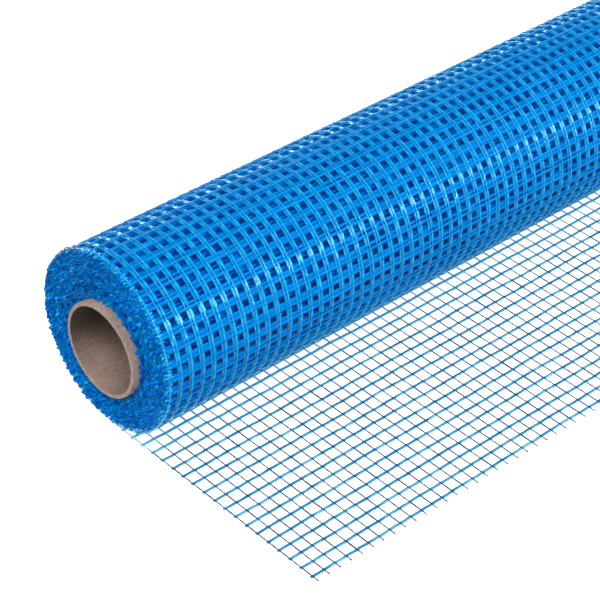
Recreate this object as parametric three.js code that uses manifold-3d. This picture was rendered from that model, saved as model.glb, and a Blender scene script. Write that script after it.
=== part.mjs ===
// A roll of coated glass-fibre mesh on a cardboard core, lying on the floor with its free end unrolled.
//
// Millimetres, +Z up. The roll's axis runs along X. The floor is z = 0, the free end points to -Y, and the
// origin is under the middle of the whole thing.
import * as THREE from 'three';
import { mergeVertices } from 'three/addons/utils/BufferGeometryUtils.js';
import Module from 'manifold-3d';

// The mesh: one web, a metre wide.
const webWidth = 1000;
const webThickness = 0.5;
const rollRadius = 33.8;
const tailReach = 105.2;       // from the line where the roll meets the floor to the cut yarn ends

// The cardboard tube that the web is wound on.
const coreRadius = 17.5;
const coreWall = 1.5;
const coreProud = 2.7;         // how far the tube stands out of the mesh at each end
const coreDrop = 2.4;          // the turns are loose, so the tube hangs below the middle of the roll
const coreAside = 0.7;         // and a little towards the free end
const woundGap = 0.3;          // between the tube and the first turn

// The turns, seen on both ends of the roll as ridges with a furrow between each two.
const turnsShown = 8;
const furrowDepth = 0.8;
const furrowShare = 0.35;      // of a ridge's pitch

const around = 64;             // sides of every circle; a side, not a corner, is at the bottom

const boreRadius = coreRadius + woundGap;
const ridgePitch = (rollRadius - boreRadius) / turnsShown;
const sideHalf = rollRadius * Math.tan(Math.PI / around);
const rollY = (tailReach - rollRadius) / 2;
const coreY = rollY - coreAside;
const coreZ = rollRadius - coreDrop;

// LatheGeometry turns its profile about Y. This lays that axis along X, with a side of the circle down.
function layAlongX(geometry) {
  geometry.rotateY(Math.PI / around);
  geometry.rotateZ(-Math.PI / 2);
  return geometry;
}

function turned(profile) {
  const points = profile.map(([r, x]) => new THREE.Vector2(r, x));
  points.push(points[0].clone());
  return layAlongX(new THREE.LatheGeometry(points, around));
}

function onlyPositions(geometry) {
  const bare = geometry.clone();
  bare.deleteAttribute('normal');
  bare.deleteAttribute('uv');
  return mergeVertices(bare, 1e-4);
}

const wasm = await Module();
wasm.setup();

function solidOf(geometry) {
  const bare = onlyPositions(geometry);
  return new wasm.Manifold(new wasm.Mesh({
    numProp: 3,
    vertProperties: new Float32Array(bare.attributes.position.array),
    triVerts: new Uint32Array(bare.index.array),
  }));
}

function geometryOf(solid) {
  const mesh = solid.getMesh();
  const geometry = new THREE.BufferGeometry();
  geometry.setAttribute('position', new THREE.BufferAttribute(new Float32Array(mesh.vertProperties), 3));
  geometry.setIndex(new THREE.BufferAttribute(new Uint32Array(mesh.triVerts), 1));
  geometry.computeVertexNormals();
  return geometry;
}

// The wound web: bore, left end, outside, right end. On each end every shown turn is a flat ridge, and a
// V-shaped furrow parts it from the next.
function rollProfile() {
  const half = webWidth / 2;
  const leftEnd = [];
  for (let turn = 0; turn < turnsShown; turn += 1) {
    const inner = boreRadius + turn * ridgePitch;
    const land = ridgePitch * (1 - furrowShare);
    leftEnd.push([inner, -half], [inner + land, -half]);
    if (turn < turnsShown - 1) {
      leftEnd.push([inner + land + (ridgePitch * furrowShare) / 2, -half + furrowDepth]);
    }
  }
  leftEnd.push([rollRadius, -half + furrowDepth / 2]);
  const rightEnd = leftEnd.map(([r, x]) => [r, -x]).reverse();
  return [...leftEnd, ...rightEnd];
}

// Turned about the middle of the roll. Then each turn sinks by its share of the tube's drop, most at the
// bore and not at all outside, so the bore stays round about the low tube.
function woundWeb() {
  const geometry = turned(rollProfile());
  const position = geometry.attributes.position;
  for (let i = 0; i < position.count; i += 1) {
    const y = position.getY(i);
    const z = position.getZ(i);
    const share = (rollRadius - Math.hypot(y, z)) / (rollRadius - boreRadius);
    position.setY(i, y - coreAside * share);
    position.setZ(i, z - coreDrop * share);
  }
  geometry.translate(0, rollY, rollRadius);
  return geometry;
}

// The free end: one thickness of the web, flat on the floor. It starts under the roll's lowest side.
function freeEnd() {
  const length = tailReach + sideHalf;
  const geometry = new THREE.BoxGeometry(webWidth, length, webThickness);
  geometry.translate(0, rollY + sideHalf - length / 2, webThickness / 2);
  return geometry;
}

const web = new THREE.Mesh(
  geometryOf(solidOf(woundWeb()).add(solidOf(freeEnd()))),
  new THREE.MeshStandardMaterial({ color: 0x0a6fd0, roughness: 0.45, metalness: 0 }),
);
web.name = 'mesh_web';

const coreHalf = webWidth / 2 + coreProud;
const core = new THREE.Mesh(
  onlyPositions(turned([
    [coreRadius - coreWall, -coreHalf],
    [coreRadius, -coreHalf],
    [coreRadius, coreHalf],
    [coreRadius - coreWall, coreHalf],
  ])),
  new THREE.MeshStandardMaterial({ color: 0xa08c7c, roughness: 0.95, metalness: 0 }),
);
core.name = 'cardboard_core';
core.position.set(0, coreY, coreZ);

const roll = new THREE.Group();
roll.add(core, web);
export default roll;
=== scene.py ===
import math

import bpy
from mathutils import Matrix, Vector, noise


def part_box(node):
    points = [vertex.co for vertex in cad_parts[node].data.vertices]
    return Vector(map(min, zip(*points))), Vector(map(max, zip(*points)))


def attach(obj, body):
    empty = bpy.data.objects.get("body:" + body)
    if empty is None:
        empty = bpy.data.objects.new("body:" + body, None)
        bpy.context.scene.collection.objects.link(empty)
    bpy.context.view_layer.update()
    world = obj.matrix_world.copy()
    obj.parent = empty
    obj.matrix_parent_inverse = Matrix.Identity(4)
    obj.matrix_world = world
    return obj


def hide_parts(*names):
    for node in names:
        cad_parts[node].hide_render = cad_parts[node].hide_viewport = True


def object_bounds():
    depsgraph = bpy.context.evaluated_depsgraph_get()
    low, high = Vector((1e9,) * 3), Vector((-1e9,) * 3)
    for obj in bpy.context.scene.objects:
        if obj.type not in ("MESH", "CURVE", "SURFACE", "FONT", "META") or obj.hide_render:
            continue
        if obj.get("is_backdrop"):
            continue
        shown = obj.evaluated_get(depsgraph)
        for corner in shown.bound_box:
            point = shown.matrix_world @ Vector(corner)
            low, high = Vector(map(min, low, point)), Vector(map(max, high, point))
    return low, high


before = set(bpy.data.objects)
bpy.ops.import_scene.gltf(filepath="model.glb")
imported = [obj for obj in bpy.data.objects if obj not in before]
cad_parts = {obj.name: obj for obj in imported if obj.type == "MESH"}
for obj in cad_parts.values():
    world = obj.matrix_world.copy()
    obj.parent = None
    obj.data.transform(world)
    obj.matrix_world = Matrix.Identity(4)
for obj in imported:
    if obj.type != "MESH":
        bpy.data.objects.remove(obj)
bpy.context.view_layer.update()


# The cardboard tube.
# Grey-brown paper wound in a spiral from a few plies and glued, then sawn off, which leaves rough rims.
# The mesh is wound on it, and it stands a little proud of the turns at both ends.
tube_low, tube_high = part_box("cardboard_core")
tube_y = (tube_low.y + tube_high.y) / 2
tube_z = (tube_low.z + tube_high.z) / 2
tube_radius = (tube_high.z - tube_low.z) / 2
tube_half = tube_high.x
tube_wall = 0.0015
tube_sides = 144


def link_in(name, mesh):
    """A new object that shows a mesh."""
    thing = bpy.data.objects.new(name, mesh)
    bpy.context.scene.collection.objects.link(thing)
    return thing


def swept_ring(name, profile, sides, place):
    """A closed body: a closed profile of points, each carried round by place(point, side)."""
    verts, faces = [], []
    rows = len(profile)
    for side in range(sides):
        verts += [place(point, side) for point in profile]
    for side in range(sides):
        here, there = side * rows, (side + 1) % sides * rows
        for row in range(rows):
            after = (row + 1) % rows
            faces.append((here + row, there + row, there + after, here + after))
    mesh = bpy.data.meshes.new(name)
    mesh.from_pydata(verts, [], faces)
    mesh.validate()
    mesh.shade_smooth()
    return mesh


def tube_profile():
    """(radius share from the bore to the outside, x) round the wall, dense at the sawn rims."""
    stations = [0.0, 0.0002, 0.0006, 0.0013, 0.0024, 0.0045, 0.012, 0.04, 0.12, 0.25, 0.38, tube_half]
    left = [-tube_half + step for step in stations[:-1]]
    run = left + [0.0] + [-x for x in reversed(left)]
    across = [0.2, 0.4, 0.6, 0.8]
    outside = [(1.0, x) for x in run]
    right_rim = [(1.0 - share, tube_half) for share in across]
    inside = [(0.0, x) for x in reversed(run)]
    left_rim = [(share, -tube_half) for share in across]
    return outside + right_rim + inside + left_rim


def tube_point(point, side):
    share, x = point
    angle = 2 * math.pi * side / tube_sides
    radius = tube_radius - tube_wall * (1 - share)
    nearness = max(0.0, 1 - (tube_half - abs(x)) / 0.0012)
    where = Vector((math.cos(angle) * 9, math.sin(angle) * 9, share * 2.5 + math.copysign(7, x)))
    rough = noise.noise(where) + 0.6 * noise.noise(where * 3.1)
    saw = 0.00028 * nearness * rough
    x -= math.copysign(abs(saw) + 0.00012 * nearness * (1 + rough), x)
    radius -= nearness * (0.00012 if share > 0.9 else -0.0001 if share < 0.1 else 0.0)
    radius += 0.00006 * rough * nearness
    return (x, tube_y + radius * math.sin(angle), tube_z - radius * math.cos(angle))


tube = link_in("paper_tube", swept_ring("paper_tube", tube_profile(), tube_sides, tube_point))


def new_material(name):
    material = bpy.data.materials.new(name)
    material.use_nodes = True
    tree = material.node_tree
    tree.nodes.clear()
    output = tree.nodes.new("ShaderNodeOutputMaterial")
    surface = tree.nodes.new("ShaderNodeBsdfPrincipled")
    tree.links.new(surface.outputs[0], output.inputs[0])
    return material, tree, surface


def wire(tree, kind, inputs=(), out=0, **settings):
    """Adds a node, sets it up, feeds its inputs with values or other sockets, and gives one output."""
    node = tree.nodes.new(kind)
    for key, value in settings.items():
        setattr(node, key, value)
    for key, value in dict(inputs).items():
        if isinstance(value, bpy.types.NodeSocket):
            tree.links.new(value, node.inputs[key])
        else:
            node.inputs[key].default_value = value
    return node.outputs[out]


def maths(tree, operation, first, second=0.0, third=0.0, clamp=False):
    inputs = {0: first, 1: second}
    if operation in ("MULTIPLY_ADD", "COMPARE", "SMOOTH_MIN", "SMOOTH_MAX", "WRAP"):
        inputs[2] = third
    return wire(tree, "ShaderNodeMath", inputs, operation=operation, use_clamp=clamp)


def parts_of(tree, vector):
    """The x, y and z of a vector."""
    node = tree.nodes.new("ShaderNodeSeparateXYZ")
    tree.links.new(vector, node.inputs[0])
    return node.outputs


def noisy(tree, vector, scale, detail, roughness=0.5):
    inputs = {"Vector": vector, "Scale": scale, "Detail": detail, "Roughness": roughness}
    return wire(tree, "ShaderNodeTexNoise", inputs)


def eased(tree, value, low, high, start=0.0, end=1.0):
    """Turns the range of a value into another one, softly at both ends."""
    inputs = {0: value, 1: low, 2: high, 3: start, 4: end}
    return wire(tree, "ShaderNodeMapRange", inputs, interpolation_type="SMOOTHSTEP")


def from_axis(tree, axis_y, axis_z):
    """Places on the object, measured from an axis along X."""
    place = wire(tree, "ShaderNodeTexCoord", out="Object")
    return wire(tree, "ShaderNodeMapping", {"Vector": place, "Location": (0, -axis_y, -axis_z)})


def ramp(tree, factor, stops):
    """A colour ramp from (place, (r, g, b)) stops."""
    node = tree.nodes.new("ShaderNodeValToRGB")
    tree.links.new(factor, node.inputs[0])
    marks = node.color_ramp.elements
    marks[0].position, marks[0].color = stops[0][0], (*stops[0][1], 1)
    marks[1].position, marks[1].color = stops[-1][0], (*stops[-1][1], 1)
    for place, colour in stops[1:-1]:
        marks.new(place).color = (*colour, 1)
    return node.outputs[0]


def mix_colour(tree, factor, first, second, blend="MIX"):
    node = tree.nodes.new("ShaderNodeMix")
    node.data_type, node.blend_type = "RGBA", blend
    for key, value in ((0, factor), (6, first), (7, second)):
        if isinstance(value, bpy.types.NodeSocket):
            tree.links.new(value, node.inputs[key])
        else:
            node.inputs[key].default_value = value if key == 0 else (*value, 1)
    return node.outputs[2]


def grey_paper():
    material, tree, surface = new_material("grey_paper_tube")
    centred = from_axis(tree, tube_y, tube_z)
    x, y, z = parts_of(tree, centred)
    turn = maths(tree, "DIVIDE", maths(tree, "ARCTAN2", y, z), 2 * math.pi)
    wound = maths(tree, "ADD", turn, maths(tree, "DIVIDE", x, 0.075))
    seam = maths(tree, "PINGPONG", wound, 0.5)
    seam_line = eased(tree, seam, 0.0, 0.012, 0.55, 0.0)
    fibres = noisy(tree, centred, 900, 5, 0.65)
    blotches = noisy(tree, centred, 70, 3)
    tone = maths(tree, "MULTIPLY_ADD", fibres, 0.55, maths(tree, "MULTIPLY", blotches, 0.45))
    colour = ramp(
        tree,
        tone,
        [
            (0.3, (0.19, 0.125, 0.1)),
            (0.48, (0.34, 0.24, 0.195)),
            (0.62, (0.45, 0.33, 0.275)),
            (0.75, (0.56, 0.43, 0.37)),
        ],
    )
    colour = mix_colour(tree, seam_line, colour, (0.12, 0.088, 0.07))
    # Painted shade: in the bore the paper is painted darker further in from the rims and towards its top.
    inward = maths(tree, "SUBTRACT", tube_half, maths(tree, "ABSOLUTE", x))
    across = wire(tree, "ShaderNodeCombineXYZ", {1: y, 2: z})
    radius = wire(tree, "ShaderNodeVectorMath", {0: across}, out="Value", operation="LENGTH")
    inside = maths(tree, "LESS_THAN", radius, tube_radius - tube_wall / 2)
    depth = eased(tree, inward, 0.0, 0.05, 0.0, 0.4)
    upper = eased(tree, z, -0.018, 0.002, 0.1, 0.93)
    painted_bore_shade = maths(tree, "MULTIPLY", maths(tree, "MAXIMUM", depth, upper), inside)
    colour = mix_colour(tree, painted_bore_shade, colour, (0.045, 0.029, 0.024))
    tree.links.new(colour, surface.inputs["Base Color"])
    surface.inputs["Roughness"].default_value = 0.93
    surface.inputs["Specular IOR Level"].default_value = 0.25
    height = maths(tree, "SUBTRACT", fibres, seam_line)
    bump = wire(tree, "ShaderNodeBump", {"Height": height, "Strength": 0.5, "Distance": 0.00025})
    tree.links.new(bump, surface.inputs["Normal"])
    return material


def sawn_board():
    """The sawn rim: paler torn fibres, with the plies as faint rings."""
    material, tree, surface = new_material("sawn_board_edge")
    centred = from_axis(tree, tube_y, tube_z)
    parts = parts_of(tree, centred)
    flat = wire(tree, "ShaderNodeCombineXYZ", {1: parts[1], 2: parts[2]})
    radius = wire(tree, "ShaderNodeVectorMath", {0: flat}, out="Value", operation="LENGTH")
    plies = maths(tree, "PINGPONG", radius, 0.00019)
    plies = maths(tree, "DIVIDE", plies, 0.00019)
    fluff = noisy(tree, centred, 1500, 4, 0.7)
    tone = maths(tree, "MULTIPLY_ADD", plies, 0.16, maths(tree, "MULTIPLY", fluff, 0.9))
    torn = [(0.25, (0.2, 0.145, 0.122)), (0.5, (0.34, 0.26, 0.228)), (0.75, (0.55, 0.455, 0.41))]
    colour = ramp(tree, tone, torn)
    tree.links.new(colour, surface.inputs["Base Color"])
    surface.inputs["Roughness"].default_value = 0.95
    surface.inputs["Specular IOR Level"].default_value = 0.2
    bump = wire(tree, "ShaderNodeBump", {"Height": tone, "Strength": 0.7, "Distance": 0.0003})
    tree.links.new(bump, surface.inputs["Normal"])
    return material


tube.data.materials.append(grey_paper())
tube.data.materials.append(sawn_board())
for face in tube.data.polygons:
    face.material_index = 1 if abs(face.normal.x) > 0.6 and abs(face.center.x) > tube_half - 0.002 else 0
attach(tube, "root")
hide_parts("cardboard_core")


# The deep turns of the web.
# Blue coated glass mesh, wound so tight that thirty-odd turns read as one body. Bars of yarn run both ways
# round open cells on the outside, and there are furrows between turns on the ends.
web_low, web_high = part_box("mesh_web")
web_half = web_high.x
roll_radius = web_high.z / 2
roll_y = web_high.y - roll_radius
web_thickness = 0.0005
bore_radius = tube_radius + 0.0003
turns = 34
rows_round = 40
pairs = 211
cut_margin = 0.00075
first_pair_x = -web_half + cut_margin
pair_pitch = -2 * first_pair_x / (pairs - 1)
row_pitch = 0.00527
turn_step = (roll_radius - bore_radius) / turns
middle_radius = roll_radius - web_thickness / 2
open_turns = 2

packed_radius = middle_radius - 1.5 * turn_step
packed_half = web_half - 0.0014
packed_phase = 0.52
weft_bar_half = 0.22
warp_bar_half = 0.2
row_parts = (0.0, weft_bar_half, 1 - weft_bar_half)
column_parts = (warp_bar_half, 1 - warp_bar_half)
furrows = 16
furrow_depth = 0.0007


def turn_centre(share):
    """The turns are loose, so their middle sinks with the tube, from outside (0) to the bore (1)."""
    return roll_y + (tube_y - roll_y) * share, roll_radius + (tube_z - roll_radius) * share


def packed_profile():
    """(x, radius) round the body: the outside, the right end, the bore and the left end."""
    outside = [(-packed_half, packed_radius)]
    for cell in range(pairs - 1):
        outside += [(first_pair_x + (cell + share) * pair_pitch, packed_radius) for share in column_parts]
    outside.append((packed_half, packed_radius))
    right_end = []
    for edge in range(1, 2 * furrows + 1):
        radius = packed_radius + (bore_radius - packed_radius) * edge / (2 * furrows)
        right_end.append((packed_half - furrow_depth * (edge % 2), radius))
    left_end = [(-x, radius) for x, radius in reversed(right_end)]
    return outside, right_end + left_end


def packed_point(point, side):
    x, radius = point
    row = side // 3 + row_parts[side % 3]
    if radius == packed_radius:
        angle = 2 * math.pi * row / rows_round
        spot = Vector((x * 22, 2.2 * math.sin(angle), 2.2 * math.cos(angle)))
        quick = noise.noise(Vector((x * 400, row * 2.7, 0.5)))
        row += 0.14 * noise.noise(spot) + 0.08 * noise.noise(spot * 3.3) + 0.05 * quick
        radius += 0.00008 * quick + (0.0001 if side % 3 == 0 else 0.0)
        if abs(x) < packed_half:
            fine = noise.noise(Vector((x * 300, row * 1.9, 7.5)))
            x += pair_pitch * (0.06 * noise.noise(spot * 2.1) + 0.04 * fine)
    middle_y, middle_z = turn_centre((roll_radius - radius) / (roll_radius - bore_radius))
    angle = 2 * math.pi * (row + packed_phase) / rows_round
    return (x, middle_y + radius * math.sin(angle), middle_z - radius * math.cos(angle))


def packed_turns():
    outside, rest = packed_profile()
    profile, sides = outside + rest, 3 * rows_round
    mesh = swept_ring("packed_turns", profile, sides, packed_point)
    mesh.shade_flat()
    height, off_middle, open_cell, warp_bar = [], [], [], []
    for side in range(sides):
        height += [1.0] * len(outside)
        # The furrow floors on the ends get a height of 0.4, which paints them partly in the cells' painted
        # shade.
        height += [1.0 if abs(x) == packed_half else 0.4 for x, _ in rest]
        off_middle += [1.0 if side % 3 else 0.0] * len(outside) + [1.0] * len(rest)
        for step in range(len(profile)):
            column = step < len(outside) - 1 and step % 2 == 1
            open_cell.append(column and side % 3 == 1)
            warp_bar.append(0.0 if column else 1.0 if side % 3 == 1 else 0.4)
    mesh.attributes.new("height", "FLOAT", "POINT").data.foreach_set("value", height)
    mesh.attributes.new("off_middle", "FLOAT", "POINT").data.foreach_set("value", off_middle)
    mesh.attributes.new("open_cell", "BOOLEAN", "FACE").data.foreach_set("value", open_cell)
    mesh.attributes.new("warp_bar", "FLOAT", "FACE").data.foreach_set("value", warp_bar)
    return mesh


def new_tree(name, inputs):
    """An empty Geometry Nodes tree with a geometry in and out and named inputs."""
    tree = bpy.data.node_groups.new(name, "GeometryNodeTree")
    face = tree.interface
    face.new_socket("Geometry", in_out="INPUT", socket_type="NodeSocketGeometry")
    for label, kind, value in inputs:
        socket = face.new_socket(label, in_out="INPUT", socket_type="NodeSocket" + kind)
        if value is not None:
            socket.default_value = value
    face.new_socket("Geometry", in_out="OUTPUT", socket_type="NodeSocketGeometry")
    return tree, tree.nodes.new("NodeGroupInput").outputs, tree.nodes.new("NodeGroupOutput").inputs


def grown(host, tree, values):
    """Runs a tree on an object and turns what grows into the object's plain mesh."""
    modifier = host.modifiers.new(tree.name, "NODES")
    modifier.node_group = tree
    for item in tree.interface.items_tree:
        if item.item_type == "SOCKET" and item.in_out == "INPUT" and item.name in values:
            modifier[item.identifier] = values[item.name]
    graph = bpy.context.evaluated_depsgraph_get()
    host.update_tag()
    graph.update()
    mesh = bpy.data.meshes.new_from_object(host.evaluated_get(graph))
    host.modifiers.remove(modifier)
    old, host.data = host.data, mesh
    bpy.data.meshes.remove(old)
    mesh.name = host.name
    return host


def sunk_cells_tree():
    """Sinks every open cell between the bars and marks its floor with a height of 0."""
    tree, given, result = new_tree(
        "sunk_cells", [("Depth", "Float", 0.0014), ("Taper", "Float", 0.88), ("Material", "Material", None)]
    )
    open_cell = wire(tree, "GeometryNodeInputNamedAttribute", {"Name": "open_cell"}, data_type="BOOLEAN")
    sunk = tree.nodes.new("GeometryNodeExtrudeMesh")
    tree.links.new(given["Geometry"], sunk.inputs["Mesh"])
    tree.links.new(open_cell, sunk.inputs["Selection"])
    tree.links.new(maths(tree, "MULTIPLY", given["Depth"], -1), sunk.inputs["Offset Scale"])
    sunk.inputs["Individual"].default_value = True
    floors = sunk.outputs["Top"]
    cells = wire(
        tree,
        "GeometryNodeScaleElements",
        {"Geometry": sunk.outputs["Mesh"], "Selection": floors, "Scale": given["Taper"]},
    )
    cells = wire(
        tree,
        "GeometryNodeStoreNamedAttribute",
        {"Geometry": cells, "Selection": floors, "Name": "height", "Value": 0.0},
        data_type="FLOAT",
        domain="POINT",
    )
    done = wire(tree, "GeometryNodeSetMaterial", {"Geometry": cells, "Material": given["Material"]})
    tree.links.new(done, result["Geometry"])
    return tree


def packed_mesh():
    """Bars of blue yarn, glossier along the warps, round deep cells; cells, end furrows and slits between
    bundles get painted shade.
    """
    material, tree, surface = new_material("blue_mesh_packed")

    def attribute(name):
        return wire(tree, "ShaderNodeAttribute", attribute_name=name, attribute_type="GEOMETRY", out="Fac")

    height, off_middle, warp_bar = attribute("height"), attribute("off_middle"), attribute("warp_bar")
    centred = from_axis(tree, roll_y, roll_radius)
    x, y, z = parts_of(tree, centred)
    round_about = maths(tree, "MULTIPLY", maths(tree, "ARCTAN2", y, z), packed_radius)
    cloth = wire(tree, "ShaderNodeCombineXYZ", {0: x, 1: round_about})

    def strands(scale):
        stretched = wire(tree, "ShaderNodeMapping", {"Vector": cloth, "Scale": scale})
        return noisy(tree, stretched, 1.0, 3)

    wefts_there, warps_there, shine = strands((60, 2600, 1)), strands((2600, 60, 1)), strands((900, 240, 1))
    weft_blues = [(0.3, (0.0, 0.07, 0.36)), (0.47, (0.0, 0.165, 0.55)), (0.65, (0.0, 0.24, 0.67))]
    blue = ramp(tree, wefts_there, weft_blues)
    warp_blues = [(0.3, (0.0, 0.13, 0.42)), (0.5, (0.0, 0.25, 0.62)), (0.68, (0.0, 0.36, 0.74))]
    cyan = ramp(tree, warps_there, warp_blues)
    # Painted shade: the cell floors are painted in darker blues than the bars, as the shade down in the
    # cells.
    shaded_cell_blues = [(0.4, (0.0, 0.03, 0.24)), (0.5, (0.0, 0.06, 0.33)), (0.58, (0.0, 0.18, 0.58))]
    deep = ramp(tree, strands((130, 1000, 1)), shaded_cell_blues)
    bars = mix_colour(tree, warp_bar, blue, cyan)
    # Painted shade: short dark slits are painted into the bars where gaps between yarn bundles would lie in
    # shade.
    short_slits = eased(tree, strands((190, 190, 1)), 0.47, 0.52)
    parted = maths(tree, "MULTIPLY", short_slits, eased(tree, strands((26, 34, 1)), 0.4, 0.5))
    painted_slit_shade = maths(tree, "MULTIPLY", parted, eased(tree, off_middle, 0.25, 0.5, 1.0, 0.0))
    bars = mix_colour(tree, painted_slit_shade, bars, (0.0, 0.03, 0.23))
    tree.links.new(mix_colour(tree, height, deep, bars), surface.inputs["Base Color"])
    gloss = eased(tree, warp_bar, 0.6, 0.9)
    tree.links.new(maths(tree, "MULTIPLY_ADD", gloss, 0.1, 0.005), surface.inputs["Specular IOR Level"])
    surface.inputs["Specular Tint"].default_value = (0.25, 0.85, 1.0, 1)
    tree.links.new(maths(tree, "MULTIPLY_ADD", gloss, -0.4, 0.5), surface.inputs["Roughness"])
    rough_part = maths(tree, "MULTIPLY", wefts_there, maths(tree, "SUBTRACT", 1.0, gloss))
    relief = maths(tree, "MULTIPLY_ADD", shine, gloss, rough_part)
    bump = wire(tree, "ShaderNodeBump", {"Height": relief, "Strength": 0.6, "Distance": 0.0003})
    tree.links.new(bump, surface.inputs["Normal"])
    return material


packed = link_in("packed_turns", packed_turns())
grown(packed, sunk_cells_tree(), {"Depth": 0.0014, "Material": packed_mesh()})
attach(packed, "root")
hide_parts("mesh_web")


# The outer turns of the web.
# The two outermost turns, where the yarns show singly: flat blue wefts along the roll, and thin paired warps
# round it that swap sides at every weft and hold it between them. The outermost turn stands off a little.
cut_end_length = 0.0018
def wound_point(wound):
    """(y, z) of the middle of the web after that many turns, counted from the line on the floor inwards."""
    share = wound / turns
    angle = 2 * math.pi * wound
    middle_y, middle_z = turn_centre(share)
    radius = middle_radius - turn_step * wound
    radius += 0.0009 * math.exp(-(((wound - 0.91) / 0.04) ** 2))
    return middle_y + radius * math.sin(angle), middle_z - radius * math.cos(angle)


def path_object(name, points):
    """A bare line of points in the plane across the roll, for the yarn trees to follow."""
    mesh = bpy.data.meshes.new(name)
    mesh.from_pydata([(0, y, z) for y, z in points], [(i, i + 1) for i in range(len(points) - 1)], [])
    return link_in(name, mesh)


def path_length(points):
    return sum(math.dist(a, b) for a, b in zip(points, points[1:]))


def follow_path(tree, yarns, given):
    """Bends flat cloth (x along the roll, y along the web, z out of it) onto the path and finishes it.

    Float lifts it off there, most at the roll's left end.
    """
    curve = wire(tree, "GeometryNodeMeshToCurve", {0: given["Geometry"]})
    flat = wire(tree, "GeometryNodeInputPosition")
    parts = parts_of(tree, flat)
    named = wire(
        tree,
        "GeometryNodeStoreNamedAttribute",
        {"Geometry": yarns, "Name": "cloth", "Value": flat},
        data_type="FLOAT_VECTOR",
        domain="POINT",
    )
    sample = tree.nodes.new("GeometryNodeSampleCurve")
    sample.mode, sample.use_all_curves = "LENGTH", True
    tree.links.new(curve, sample.inputs["Curves"])
    tree.links.new(parts[1], sample.inputs["Length"])
    up = wire(
        tree,
        "ShaderNodeVectorMath",
        {0: (1.0, 0.0, 0.0), 1: sample.outputs["Tangent"]},
        operation="CROSS_PRODUCT",
    )
    off = maths(tree, "SUBTRACT", parts[1], given["Float at"])
    off = maths(tree, "DIVIDE", off, given["Float width"])
    bell = maths(tree, "EXPONENT", maths(tree, "MULTIPLY", maths(tree, "MULTIPLY", off, off), -1))
    reach = wire(tree, "ShaderNodeMapRange", {0: parts[0], 1: -web_half, 2: -0.2, 3: 1.0, 4: 0.2})
    floated = maths(tree, "MULTIPLY", maths(tree, "MULTIPLY", bell, reach), given["Float"])
    lifted = maths(tree, "ADD", parts[2], floated)
    rise = wire(tree, "ShaderNodeVectorMath", {0: up, "Scale": lifted}, operation="SCALE")
    spot = wire(tree, "ShaderNodeVectorMath", {0: sample.outputs["Position"], 1: rise}, operation="ADD")
    side = wire(tree, "ShaderNodeCombineXYZ", {0: parts[0]})
    spot = wire(tree, "ShaderNodeVectorMath", {0: spot, 1: side}, operation="ADD")
    bent = wire(tree, "GeometryNodeSetPosition", {"Geometry": named, "Position": spot})
    smooth = wire(tree, "GeometryNodeSetShadeSmooth", {0: bent})
    return wire(tree, "GeometryNodeSetMaterial", {"Geometry": smooth, "Material": given["Material"]})


float_inputs = [("Float", "Float", 0.0), ("Float at", "Float", 0.08), ("Float width", "Float", 0.013)]


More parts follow.
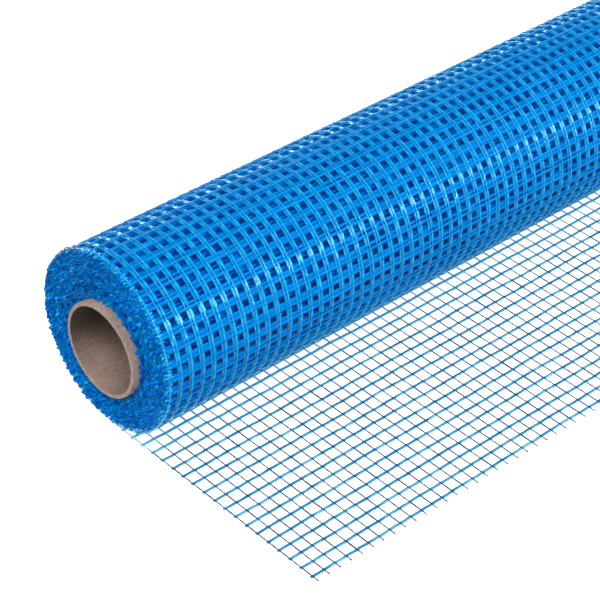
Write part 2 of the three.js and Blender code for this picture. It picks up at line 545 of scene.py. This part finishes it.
def weft_tree():
    tree, given, result = new_tree(
        "wefts_along_a_web",
        [
            ("Rows", "Int", 40),
            ("First row", "Float", 0.0),
            ("Row pitch", "Float", row_pitch),
            ("Left end", "Float", -web_half),
            ("Right end", "Float", web_half),
            ("Points", "Int", 80),
            ("Yarn width", "Float", 0.0009),
            ("Yarn thickness", "Float", 0.00018),
            ("Wander", "Float", 0.0003),
            ("Kink", "Float", 0.0),
            ("Fray", "Float", 0.0),
            ("Splay", "Float", 0.0),
            ("Pinch", "Float", 0.0),
            ("Ragged end", "Float", 0.0004),
            ("Telescoping", "Float", 0.0),
            ("Seed", "Float", 0.0),
            ("Material", "Material", None),
        ]
        + float_inputs,
    )
    length = maths(tree, "SUBTRACT", given["Right end"], given["Left end"])
    start = wire(tree, "ShaderNodeCombineXYZ", {0: given["Left end"]})
    stop = wire(tree, "ShaderNodeCombineXYZ", {0: given["Right end"]})
    yarn = wire(tree, "GeometryNodeCurvePrimitiveLine", {"Start": start, "End": stop})
    yarn = wire(tree, "GeometryNodeResampleCurve", {"Curve": yarn, "Count": given["Points"]})
    one_a_row = {"Count": given["Rows"], "Start Location": (0, 0, 0), "Offset": (0, 1, 0)}
    feet = wire(tree, "GeometryNodeMeshLine", one_a_row)
    laid = wire(tree, "GeometryNodeInstanceOnPoints", {"Points": feet, "Instance": yarn})
    laid = wire(tree, "GeometryNodeRealizeInstances", {0: laid})
    flat = wire(tree, "GeometryNodeInputPosition")
    x, row, _ = parts_of(tree, flat)
    seeded = maths(tree, "ADD", row, maths(tree, "MULTIPLY", given["Seed"], 17.3))
    slow_x = maths(tree, "MULTIPLY", x, 28)
    where = wire(tree, "ShaderNodeCombineXYZ", {0: slow_x, 1: maths(tree, "MULTIPLY", seeded, 0.45)})
    sway = tree.nodes.new("ShaderNodeTexNoise")
    tree.links.new(where, sway.inputs["Vector"])
    sway.inputs["Scale"].default_value, sway.inputs["Detail"].default_value = 1.0, 2.0
    tint = tree.nodes.new("FunctionNodeSeparateColor")
    tree.links.new(sway.outputs["Color"], tint.inputs[0])

    def swing(channel, amount):
        return maths(tree, "MULTIPLY", maths(tree, "SUBTRACT", tint.outputs[channel], 0.5), amount)

    def chance(chosen):
        """A random value from -1 to 1, by seed and by number."""
        inputs = {"Min": -1.0, "Max": 1.0, **chosen}
        return wire(tree, "FunctionNodeRandomValue", inputs, out="Value", data_type="FLOAT")

    doubled = maths(tree, "MULTIPLY", given["Wander"], 4)
    along = maths(tree, "MULTIPLY_ADD", row, given["Row pitch"], given["First row"])
    along = maths(tree, "ADD", along, swing(0, doubled))
    along = maths(tree, "MULTIPLY_ADD", chance({"Seed": 7}), given["Kink"], along)
    lift = swing(1, maths(tree, "MULTIPLY", given["Wander"], 0.5))
    lift = maths(tree, "MULTIPLY_ADD", chance({"Seed": 8}), given["Fray"], lift)
    outward = maths(tree, "ABSOLUTE", x)
    tip = wire(tree, "ShaderNodeMapRange", {0: outward, 1: web_half - cut_end_length, 2: web_half})
    lift = maths(tree, "MULTIPLY_ADD", tip, given["Splay"], lift)
    share = maths(tree, "DIVIDE", maths(tree, "SUBTRACT", x, given["Left end"]), length)
    random_end = chance({"ID": maths(tree, "ADD", seeded, 5), "Seed": 3})
    reach = maths(tree, "MULTIPLY", random_end, given["Ragged end"])
    stretched = maths(tree, "MULTIPLY_ADD", maths(tree, "SUBTRACT", share, 0.5), reach, x)
    turn_by_turn = wire(tree, "ShaderNodeCombineXYZ", {0: maths(tree, "MULTIPLY", row, 0.021)})
    shift = maths(tree, "SUBTRACT", noisy(tree, turn_by_turn, 1.0, 1), 0.5)
    shift = maths(tree, "MULTIPLY", shift, maths(tree, "MULTIPLY", given["Telescoping"], 4))
    stretched = maths(tree, "ADD", stretched, shift)
    spot = wire(tree, "ShaderNodeCombineXYZ", {0: stretched, 1: along, 2: lift})
    laid = wire(tree, "GeometryNodeSetPosition", {"Geometry": laid, "Position": spot})
    cell = maths(tree, "DIVIDE", maths(tree, "SUBTRACT", x, first_pair_x), pair_pitch)
    held = maths(tree, "MULTIPLY_ADD", maths(tree, "PINGPONG", cell, 0.5), -2, 1)
    girth = maths(tree, "MULTIPLY_ADD", maths(tree, "MULTIPLY", held, given["Pinch"]), -1, 1)
    laid = wire(tree, "GeometryNodeSetCurveRadius", {"Curve": laid, "Radius": girth})
    section = wire(
        tree,
        "GeometryNodeCurvePrimitiveQuadrilateral",
        {0: given["Yarn width"], 1: given["Yarn thickness"]},
        mode="RECTANGLE",
    )
    swept = {"Curve": laid, "Profile Curve": section, "Fill Caps": True}
    done = follow_path(tree, wire(tree, "GeometryNodeCurveToMesh", swept), given)
    tree.links.new(done, result["Geometry"])
    return tree


wefts = weft_tree()


def cloth_place(tree):
    """Where a spot lies on the flat web, as the yarn trees kept it."""
    return wire(tree, "ShaderNodeAttribute", attribute_name="cloth", attribute_type="GEOMETRY", out="Vector")


def shaded_where_loose(tree, cloth, colour):
    """Dulls the yarns at the back of the roll's left top, where the loose outer turn stands off."""
    parts = parts_of(tree, cloth)
    off = maths(tree, "ABSOLUTE", maths(tree, "SUBTRACT", parts[1], 0.077))
    band = wire(tree, "ShaderNodeMapRange", {0: off, 1: 0.004, 2: 0.009, 3: 0.8, 4: 0.0})
    reach = wire(tree, "ShaderNodeMapRange", {0: parts[0], 1: -0.4, 2: -0.22, 3: 1.0, 4: 0.0})
    return mix_colour(tree, maths(tree, "MULTIPLY", band, reach), colour, (0.09, 0.11, 0.18))


def pale_by_the_floor(tree, cloth, colour, begins, pale):
    """Yarns turn pale from that length of web on, where the white floor lights them."""
    parts = parts_of(tree, cloth)
    span = {0: parts[1], 1: begins, 2: begins + 0.015, 3: 0.0, 4: 0.85}
    paler = wire(tree, "ShaderNodeMapRange", span)
    return mix_colour(tree, paler, colour, pale)


def blue_weft(name, dark, mid, light, crossing_colour, paler_from, wound=True):
    material, tree, surface = new_material(name)
    cloth = cloth_place(tree)
    parts = parts_of(tree, cloth)
    x = parts[0]
    strands = wire(tree, "ShaderNodeMapping", {"Vector": cloth, "Scale": (1.0, 60.0, 60.0)})
    strands = noisy(tree, strands, 130, 4, 0.6)
    cells = maths(tree, "DIVIDE", maths(tree, "SUBTRACT", x, first_pair_x), pair_pitch)
    near = maths(tree, "MULTIPLY", maths(tree, "PINGPONG", cells, 0.5), 2)
    near_crossing = eased(tree, near, 0.05, 0.3, 1.0, 0.0)
    colour = ramp(tree, strands, [(0.3, dark), (0.5, mid), (0.7, light)])
    washes = wire(tree, "ShaderNodeMapping", {"Vector": cloth, "Scale": (110.0, 500.0, 1.0)})
    washes = noisy(tree, washes, 1.0, 1)
    washed = wire(tree, "ShaderNodeMapRange", {0: washes, 1: 0.48, 2: 0.66, 3: 0.0, 4: 0.8})
    colour = mix_colour(tree, washed, colour, light)
    # Each crossing takes its own colour; on the free end a dark blue, painted shadow of the warps crossing
    # the weft.
    colour = mix_colour(tree, maths(tree, "MULTIPLY", near_crossing, 0.5), colour, crossing_colour)
    colour = pale_by_the_floor(tree, cloth, colour, paler_from, (0.08, 0.52, 0.86))
    if wound:
        colour = shaded_where_loose(tree, cloth, colour)
    tree.links.new(colour, surface.inputs["Base Color"])
    surface.inputs["Roughness"].default_value = 0.55
    surface.inputs["Specular IOR Level"].default_value = 0.004
    bump = wire(tree, "ShaderNodeBump", {"Height": strands, "Strength": 0.6, "Distance": 0.0001})
    tree.links.new(bump, surface.inputs["Normal"])
    return material


pale_from = 0.168
weft_blue = blue_weft(
    "blue_coated_weft", (0.0, 0.11, 0.45), (0.0, 0.185, 0.56), (0.0, 0.25, 0.66), (0.0, 0.22, 0.62), pale_from
)


def warp_tree():
    tree, given, result = new_tree(
        "warp_pairs_along_a_web",
        [
            ("Pairs", "Int", 211),
            ("First pair", "Float", -web_half),
            ("Pair pitch", "Float", pair_pitch),
            ("First row", "Float", 0.0),
            ("Row pitch", "Float", row_pitch),
            ("Start", "Float", 0.0),
            ("Cells", "Float", 40.0),
            ("Steps", "Int", 81),
            ("Yarn radius", "Float", 0.00011),
            ("Yarn sides", "Int", 4),
            ("Spread", "Float", 0.0003),
            ("Lift", "Float", 0.00018),
            ("Wander", "Float", 0.0001),
            ("Seed", "Float", 0.0),
            ("Material", "Material", None),
        ]
        + float_inputs,
    )
    start = wire(tree, "ShaderNodeCombineXYZ", {1: given["Start"]})
    stop = wire(tree, "ShaderNodeCombineXYZ", {1: maths(tree, "ADD", given["Start"], given["Cells"])})
    yarn = wire(tree, "GeometryNodeCurvePrimitiveLine", {"Start": start, "End": stop})
    yarn = wire(tree, "GeometryNodeResampleCurve", {"Curve": yarn, "Count": given["Steps"]})
    step = wire(tree, "ShaderNodeCombineXYZ", {0: given["Pair pitch"]})
    left = wire(tree, "ShaderNodeCombineXYZ", {0: given["First pair"], 2: 1.0})
    right = wire(tree, "ShaderNodeCombineXYZ", {0: given["First pair"], 2: -1.0})
    join = tree.nodes.new("GeometryNodeJoinGeometry")
    for foot in (left, right):
        row_of_pairs = {"Count": given["Pairs"], "Start Location": foot, "Offset": step}
        tree.links.new(wire(tree, "GeometryNodeMeshLine", row_of_pairs), join.inputs[0])
    laid = wire(tree, "GeometryNodeInstanceOnPoints", {"Points": join.outputs[0], "Instance": yarn})
    laid = wire(tree, "GeometryNodeRealizeInstances", {0: laid})
    x, cell, yarn_sign = parts_of(tree, wire(tree, "GeometryNodeInputPosition"))
    weave = maths(tree, "SINE", maths(tree, "MULTIPLY", cell, math.pi))
    where = wire(
        tree,
        "ShaderNodeCombineXYZ",
        {
            0: maths(tree, "MULTIPLY", x, 150),
            1: maths(tree, "MULTIPLY", cell, 0.11),
            2: maths(tree, "ADD", maths(tree, "MULTIPLY", yarn_sign, 0.15), given["Seed"]),
        },
    )
    sway = maths(tree, "SUBTRACT", noisy(tree, where, 1.0, 2), 0.5)
    off = maths(tree, "MULTIPLY", maths(tree, "MULTIPLY", yarn_sign, weave), given["Spread"])
    off = maths(tree, "ADD", off, maths(tree, "MULTIPLY", maths(tree, "MULTIPLY", given["Wander"], 4), sway))
    held = maths(tree, "MULTIPLY_ADD", maths(tree, "ABSOLUTE", weave), -0.7, 1.0)
    rise = maths(tree, "MULTIPLY", maths(tree, "MULTIPLY", yarn_sign, held), given["Lift"])
    along = maths(tree, "MULTIPLY_ADD", cell, given["Row pitch"], given["First row"])
    spot = wire(tree, "ShaderNodeCombineXYZ", {0: maths(tree, "ADD", x, off), 1: along, 2: rise})
    laid = wire(tree, "GeometryNodeSetPosition", {"Geometry": laid, "Position": spot})
    section = wire(
        tree,
        "GeometryNodeCurvePrimitiveCircle",
        {"Resolution": given["Yarn sides"], "Radius": given["Yarn radius"]},
        mode="RADIUS",
    )
    swept = {"Curve": laid, "Profile Curve": section, "Fill Caps": True}
    done = follow_path(tree, wire(tree, "GeometryNodeCurveToMesh", swept), given)
    tree.links.new(done, result["Geometry"])
    return tree


warps = warp_tree()


def thin_warp(name, dark, mid, light, gloss, paler_from=None):
    material, tree, surface = new_material(name)
    cloth = cloth_place(tree)
    colour = ramp(tree, noisy(tree, cloth, 320, 3), [(0.3, dark), (0.5, mid), (0.72, light)])
    if paler_from is not None:
        colour = pale_by_the_floor(tree, cloth, colour, paler_from, (0.35, 0.66, 0.88))
    tree.links.new(shaded_where_loose(tree, cloth, colour), surface.inputs["Base Color"])
    surface.inputs["Roughness"].default_value = 0.2
    surface.inputs["Specular IOR Level"].default_value = gloss
    surface.inputs["Specular Tint"].default_value = (0.35, 0.9, 1.0, 1)
    twists = wire(tree, "ShaderNodeMapping", {"Vector": cloth, "Scale": (900.0, 420.0, 1.0)})
    bump = {"Height": noisy(tree, twists, 1.0, 2), "Strength": 1.0, "Distance": 0.0005}
    bump = wire(tree, "ShaderNodeBump", bump)
    tree.links.new(bump, surface.inputs["Normal"])
    return material


# Partly painted light: these warps are painted pale cyan, as they look lit on the roll; the free end's copy
# is dark grey.
warp_pale = thin_warp(
    "thin_coated_warp", (0.0, 0.28, 0.64), (0.01, 0.44, 0.76), (0.08, 0.6, 0.86), 0.5, pale_from
)

outer_turns = [
    # name, shift along the web in cells, shift along the roll, points in a weft, steps a cell in a warp
    ("first", 0.64, 0.0, 211, 2),
    ("second", 0.41, pair_pitch - 0.0013, 106, 1),
]
for number, (word, phase, aside, weft_points, warp_steps) in enumerate(outer_turns):
    points = [wound_point(number + step / 240) for step in range(241 + 12)]
    around = path_length(points[:241])
    pitch = around / rows_round
    turn_wefts = path_object(f"turn_{word}_wefts", points)
    grown(
        turn_wefts,
        wefts,
        {
            "Rows": rows_round,
            "First row": phase * pitch,
            "Row pitch": pitch,
            "Points": weft_points,
            "Yarn width": 0.0011,
            "Wander": 0.0003 + 0.0002 * number,
            "Splay": 0.0007,
            "Seed": float(number),
            "Material": weft_blue,
            "Float": 0.001 * (1 - number),
        },
    )
    pieces = [turn_wefts]
    # Warps of the second turn bulge out into the open cells of the first, so they lie nearly as high.
    nested = [wound_point(0.4 * number + step / 240) for step in range(241 + 12)]
    for half, first_pair, count in (("left", 0, 106), ("right", 106, 105 - number)):
        turn_warps = path_object(f"turn_{word}_warps_{half}", nested)
        grown(
            turn_warps,
            warps,
            {
                "Pairs": count,
                "First pair": first_pair_x + aside + first_pair * pair_pitch,
                "First row": phase * pitch,
                "Row pitch": pitch,
                "Start": 0.0,
                "Cells": float(rows_round),
                "Steps": rows_round * warp_steps + 1,
                "Yarn sides": 4 - number,
                "Yarn radius": 0.00012,
                "Spread": 0.00006,
                "Wander": 0.0002 + 0.0001 * number,
                "Seed": float(number) * 3.7,
                "Material": warp_pale,
                "Float": 0.001 * (1 - number),
            },
        )
        pieces.append(turn_warps)
    for piece in pieces:
        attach(piece, "root")


# The ends of the turns.
# All 34 turns seen edge on: the cut weft ends stand out past the first warp pair, row after row and turn
# after turn, and make the grainy face of the roll's ends.
def end_grain():
    """Cut ends, each in its own tone of blue, with paler and darker turns among them."""
    material, tree, surface = new_material("blue_cut_ends")
    cloth = cloth_place(tree)
    each = noisy(tree, cloth, 300, 2)
    centred = from_axis(tree, roll_y, roll_radius)
    across = wire(tree, "ShaderNodeVectorMath", {0: centred, 1: (0.0, 1.0, 1.0)}, operation="MULTIPLY")
    radius = wire(tree, "ShaderNodeVectorMath", {0: across}, out="Value", operation="LENGTH")
    rings = noisy(tree, wire(tree, "ShaderNodeCombineXYZ", {0: radius}), 520, 2)
    clouds = noisy(tree, centred, 260, 3)
    tone = maths(tree, "MULTIPLY_ADD", rings, 1.4, maths(tree, "MULTIPLY_ADD", each, 0.8, -0.75))
    tone = maths(tree, "MULTIPLY_ADD", clouds, 0.6, maths(tree, "SUBTRACT", tone, 0.15))
    outward = wire(tree, "ShaderNodeMapRange", {0: radius, 1: 0.021, 2: 0.033, 3: -0.09, 4: 0.07})
    tone = maths(tree, "ADD", tone, outward)
    stub_blues = [(0.3, (0.0, 0.055, 0.36)), (0.5, (0.0, 0.2, 0.74)), (0.62, (0.0, 0.34, 0.95))]
    colour = ramp(tree, tone, stub_blues + [(0.74, (0.05, 0.6, 1.0))])
    tree.links.new(colour, surface.inputs["Base Color"])
    surface.inputs["Roughness"].default_value = 0.5
    surface.inputs["Specular IOR Level"].default_value = 0.02
    return material


cut_blue = end_grain()
loose_blue = thin_warp("loose_cut_ends", (0.0, 0.17, 0.56), (0.0, 0.27, 0.7), (0.03, 0.46, 0.84), 0.12)
edge_cyan = thin_warp("edge_warps", (0.0, 0.12, 0.5), (0.0, 0.3, 0.74), (0.03, 0.5, 0.9), 0.05)
spiral = [wound_point(open_turns + step / 96) for step in range((turns - open_turns) * 96 + 1)]
spiral_rows = int(path_length(spiral) / row_pitch)
outermost = [wound_point(0.04 + step / 96) for step in range(2 * 96 + 1)]
for word, low, high, pair_x in (
    ("left", -web_half, -web_half + cut_end_length, first_pair_x),
    ("right", web_half - cut_end_length, web_half, -first_pair_x),
):
    stubs = path_object(f"weft_ends_{word}", spiral)
    grown(
        stubs,
        wefts,
        {
            "Rows": spiral_rows,
            "First row": 0.001,
            "Row pitch": row_pitch,
            "Left end": low,
            "Right end": high,
            "Points": 4,
            "Yarn width": 0.0009,
            "Yarn thickness": 0.00034,
            "Ragged end": 0.0008,
            "Telescoping": 0.0005,
            "Wander": 0.0003,
            "Kink": 0.00025,
            "Fray": 0.00022,
            "Seed": 11.0,
            "Material": cut_blue,
        },
    )
    loose = path_object(f"loose_ends_{word}", outermost)
    grown(
        loose,
        wefts,
        {
            "Rows": 160,
            "First row": 0.0006,
            "Row pitch": path_length(outermost) / 161,
            "Left end": low,
            "Right end": high,
            "Points": 4,
            "Yarn width": 0.0009,
            "Yarn thickness": 0.0004,
            "Ragged end": 0.001,
            "Wander": 0.0005,
            "Kink": 0.0003,
            "Fray": 0.0003,
            "Splay": 0.0008,
            "Seed": 31.0,
            "Material": loose_blue,
        },
    )
    selvedge = path_object(f"edge_warps_{word}", spiral)
    grown(
        selvedge,
        warps,
        {
            "Pairs": 1,
            "First pair": pair_x,
            "First row": 0.001,
            "Row pitch": row_pitch,
            "Start": 0.0,
            "Cells": float(spiral_rows - 1),
            "Steps": (spiral_rows - 1) * 2 + 1,
            "Yarn sides": 3,
            "Spread": 0.0002,
            "Wander": 0.00015,
            "Seed": 5.0,
            "Material": edge_cyan,
        },
    )
    for piece in (stubs, loose, selvedge):
        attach(piece, "root")


# The free end of the web.
# The last 10 cm lie unrolled on the floor. The web was cut between two wefts, so warp ends stick out past the
# last one. It lies in gentle waves.
tail_rows = 20
last_row_y = roll_y - 0.0024
first_row_y = last_row_y - (tail_rows - 1) * row_pitch
cut_y = web_low.y
tail_points = []
for step in range(61):
    y = cut_y + (roll_y + 0.004 - cut_y) * step / 60
    rise = max(0.0, y - roll_y) ** 2 / (2 * middle_radius)
    tail_points.append((y, web_thickness / 2 + rise))
tail_pale_from = roll_y - cut_y - 0.033
tail_blue = blue_weft(
    "blue_weft_single",
    (0.0, 0.11, 0.3),
    (0.0, 0.21, 0.44),
    (0.12, 0.47, 0.72),
    # dark at each crossing: painted shadow of the warps over the weft
    (0.0, 0.075, 0.24),
    tail_pale_from,
    wound=False,
)
# Partly painted light: the same warp yarn as on the roll, painted dark grey, as it looks against the white
# floor.
tail_grey = thin_warp(
    "thin_warp_single", (0.02, 0.035, 0.12), (0.04, 0.06, 0.17), (0.08, 0.115, 0.25), 0.2, tail_pale_from
)
tail_wefts = path_object("free_end_wefts", tail_points)
grown(
    tail_wefts,
    wefts,
    {
        "Rows": tail_rows,
        "First row": first_row_y - cut_y,
        "Row pitch": row_pitch,
        "Points": 421,
        "Yarn width": 0.00105,
        "Wander": 0.0004,
        "Kink": 0.0001,
        "Pinch": 0.42,
        "Seed": 21.0,
        "Material": tail_blue,
    },
)
tail_warps = path_object("free_end_warps", tail_points)
grown(
    tail_warps,
    warps,
    {
        "Pairs": pairs,
        "First pair": first_pair_x,
        "First row": first_row_y - cut_y,
        "Row pitch": row_pitch,
        "Start": -0.5,
        "Cells": float(tail_rows),
        "Steps": 2 * tail_rows + 1,
        "Yarn sides": 3,
        "Yarn radius": 0.00025,
        "Spread": 0.00008,
        "Lift": 0.00008,
        "Wander": 0.00018,
        "Seed": 9.0,
        "Material": tail_grey,
    },
)
for piece in (tail_wefts, tail_warps):
    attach(piece, "root")
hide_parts("mesh_web")


# The floor, the light and the camera.
# A white sweep under white studio light: a wide soft light above, one strip in front and one low behind. A
# wider strip in the place of each of the two shows only in the gloss of the yarns, as glints along the roll.
floor_mesh = bpy.data.meshes.new("floor")
floor_mesh.from_pydata([(-9, -9, 0), (9, -9, 0), (9, 9, 0), (-9, 9, 0)], [], [(0, 1, 2, 3)])
floor = link_in("floor", floor_mesh)
floor_white, floor_tree, floor_surface = new_material("white_floor")
floor_surface.inputs["Base Color"].default_value = (0.93, 0.93, 0.93, 1)
floor_surface.inputs["Roughness"].default_value = 0.9
floor_surface.inputs["Specular IOR Level"].default_value = 0.1
floor_surface.inputs["Emission Color"].default_value = (1, 1, 1, 1)
floor_surface.inputs["Emission Strength"].default_value = 0.7
floor.data.materials.append(floor_white)
floor.visible_diffuse = False
floor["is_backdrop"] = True

world = bpy.data.worlds.new("white_studio")
world.use_nodes = True
world.node_tree.nodes["Background"].inputs["Color"].default_value = (1, 1, 1, 1)
world.node_tree.nodes["Background"].inputs["Strength"].default_value = 0.68
bpy.context.scene.world = world
bpy.context.scene.view_settings.view_transform = "Standard"


def area_light(name, place, target, width, height, power):
    lamp = bpy.data.lights.new(name, "AREA")
    lamp.shape, lamp.size, lamp.size_y, lamp.energy = "RECTANGLE", width, height, power
    thing = bpy.data.objects.new(name, lamp)
    bpy.context.scene.collection.objects.link(thing)
    aim = (Vector(target) - Vector(place)).to_track_quat("-Z", "Y")
    thing.matrix_world = Matrix.Translation(place) @ aim.to_matrix().to_4x4()
    return thing


area_light("wide_light_above", (-1.3, -0.7, 1.6), (-0.4, 0, 0), 1.2, 1.0, 26)
area_light("strip_in_front", (1.2, -1.3, 0.63), (1.2, 0, 0.03), 3.2, 0.16, 26)
area_light("strip_behind", (1.3, 1.5, 0.28), (1.3, 0, 0.05), 3.2, 0.16, 22)
for name, place, target, width, power in (
    ("glints_in_front", (1.2, -1.3, 0.63), (1.2, 0, 0.03), 0.6, 380),
    ("glints_behind", (1.3, 1.5, 0.28), (1.3, 0, 0.05), 0.4, 110),
):
    glints = area_light(name, place, target, 3.2, width, power)
    glints.visible_diffuse = False

camera_data = bpy.data.cameras.new("photo_camera")
camera_data.sensor_width = 36
camera_data.lens = 36 * 2345.03 / 600
camera_data.clip_start, camera_data.clip_end = 0.01, 50
camera = bpy.data.objects.new("photo_camera", camera_data)
bpy.context.scene.collection.objects.link(camera)
azimuth, elevation, tilt = -0.7494, 0.6389, 0.0238
back = Vector(
    (math.sin(azimuth) * math.cos(elevation), -math.cos(azimuth) * math.cos(elevation), math.sin(elevation))
)
right = (-back).cross(Vector((0, 0, 1))).normalized()
up = right.cross(-back)
camera_x = right * math.cos(tilt) + up * math.sin(tilt)
camera_y = up * math.cos(tilt) - right * math.sin(tilt)
turned = Matrix((camera_x, camera_y, back)).transposed().to_4x4()
camera.matrix_world = Matrix.Translation((-0.87043, -0.45673, 0.50787)) @ turned
bpy.context.scene.camera = camera

low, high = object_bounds()
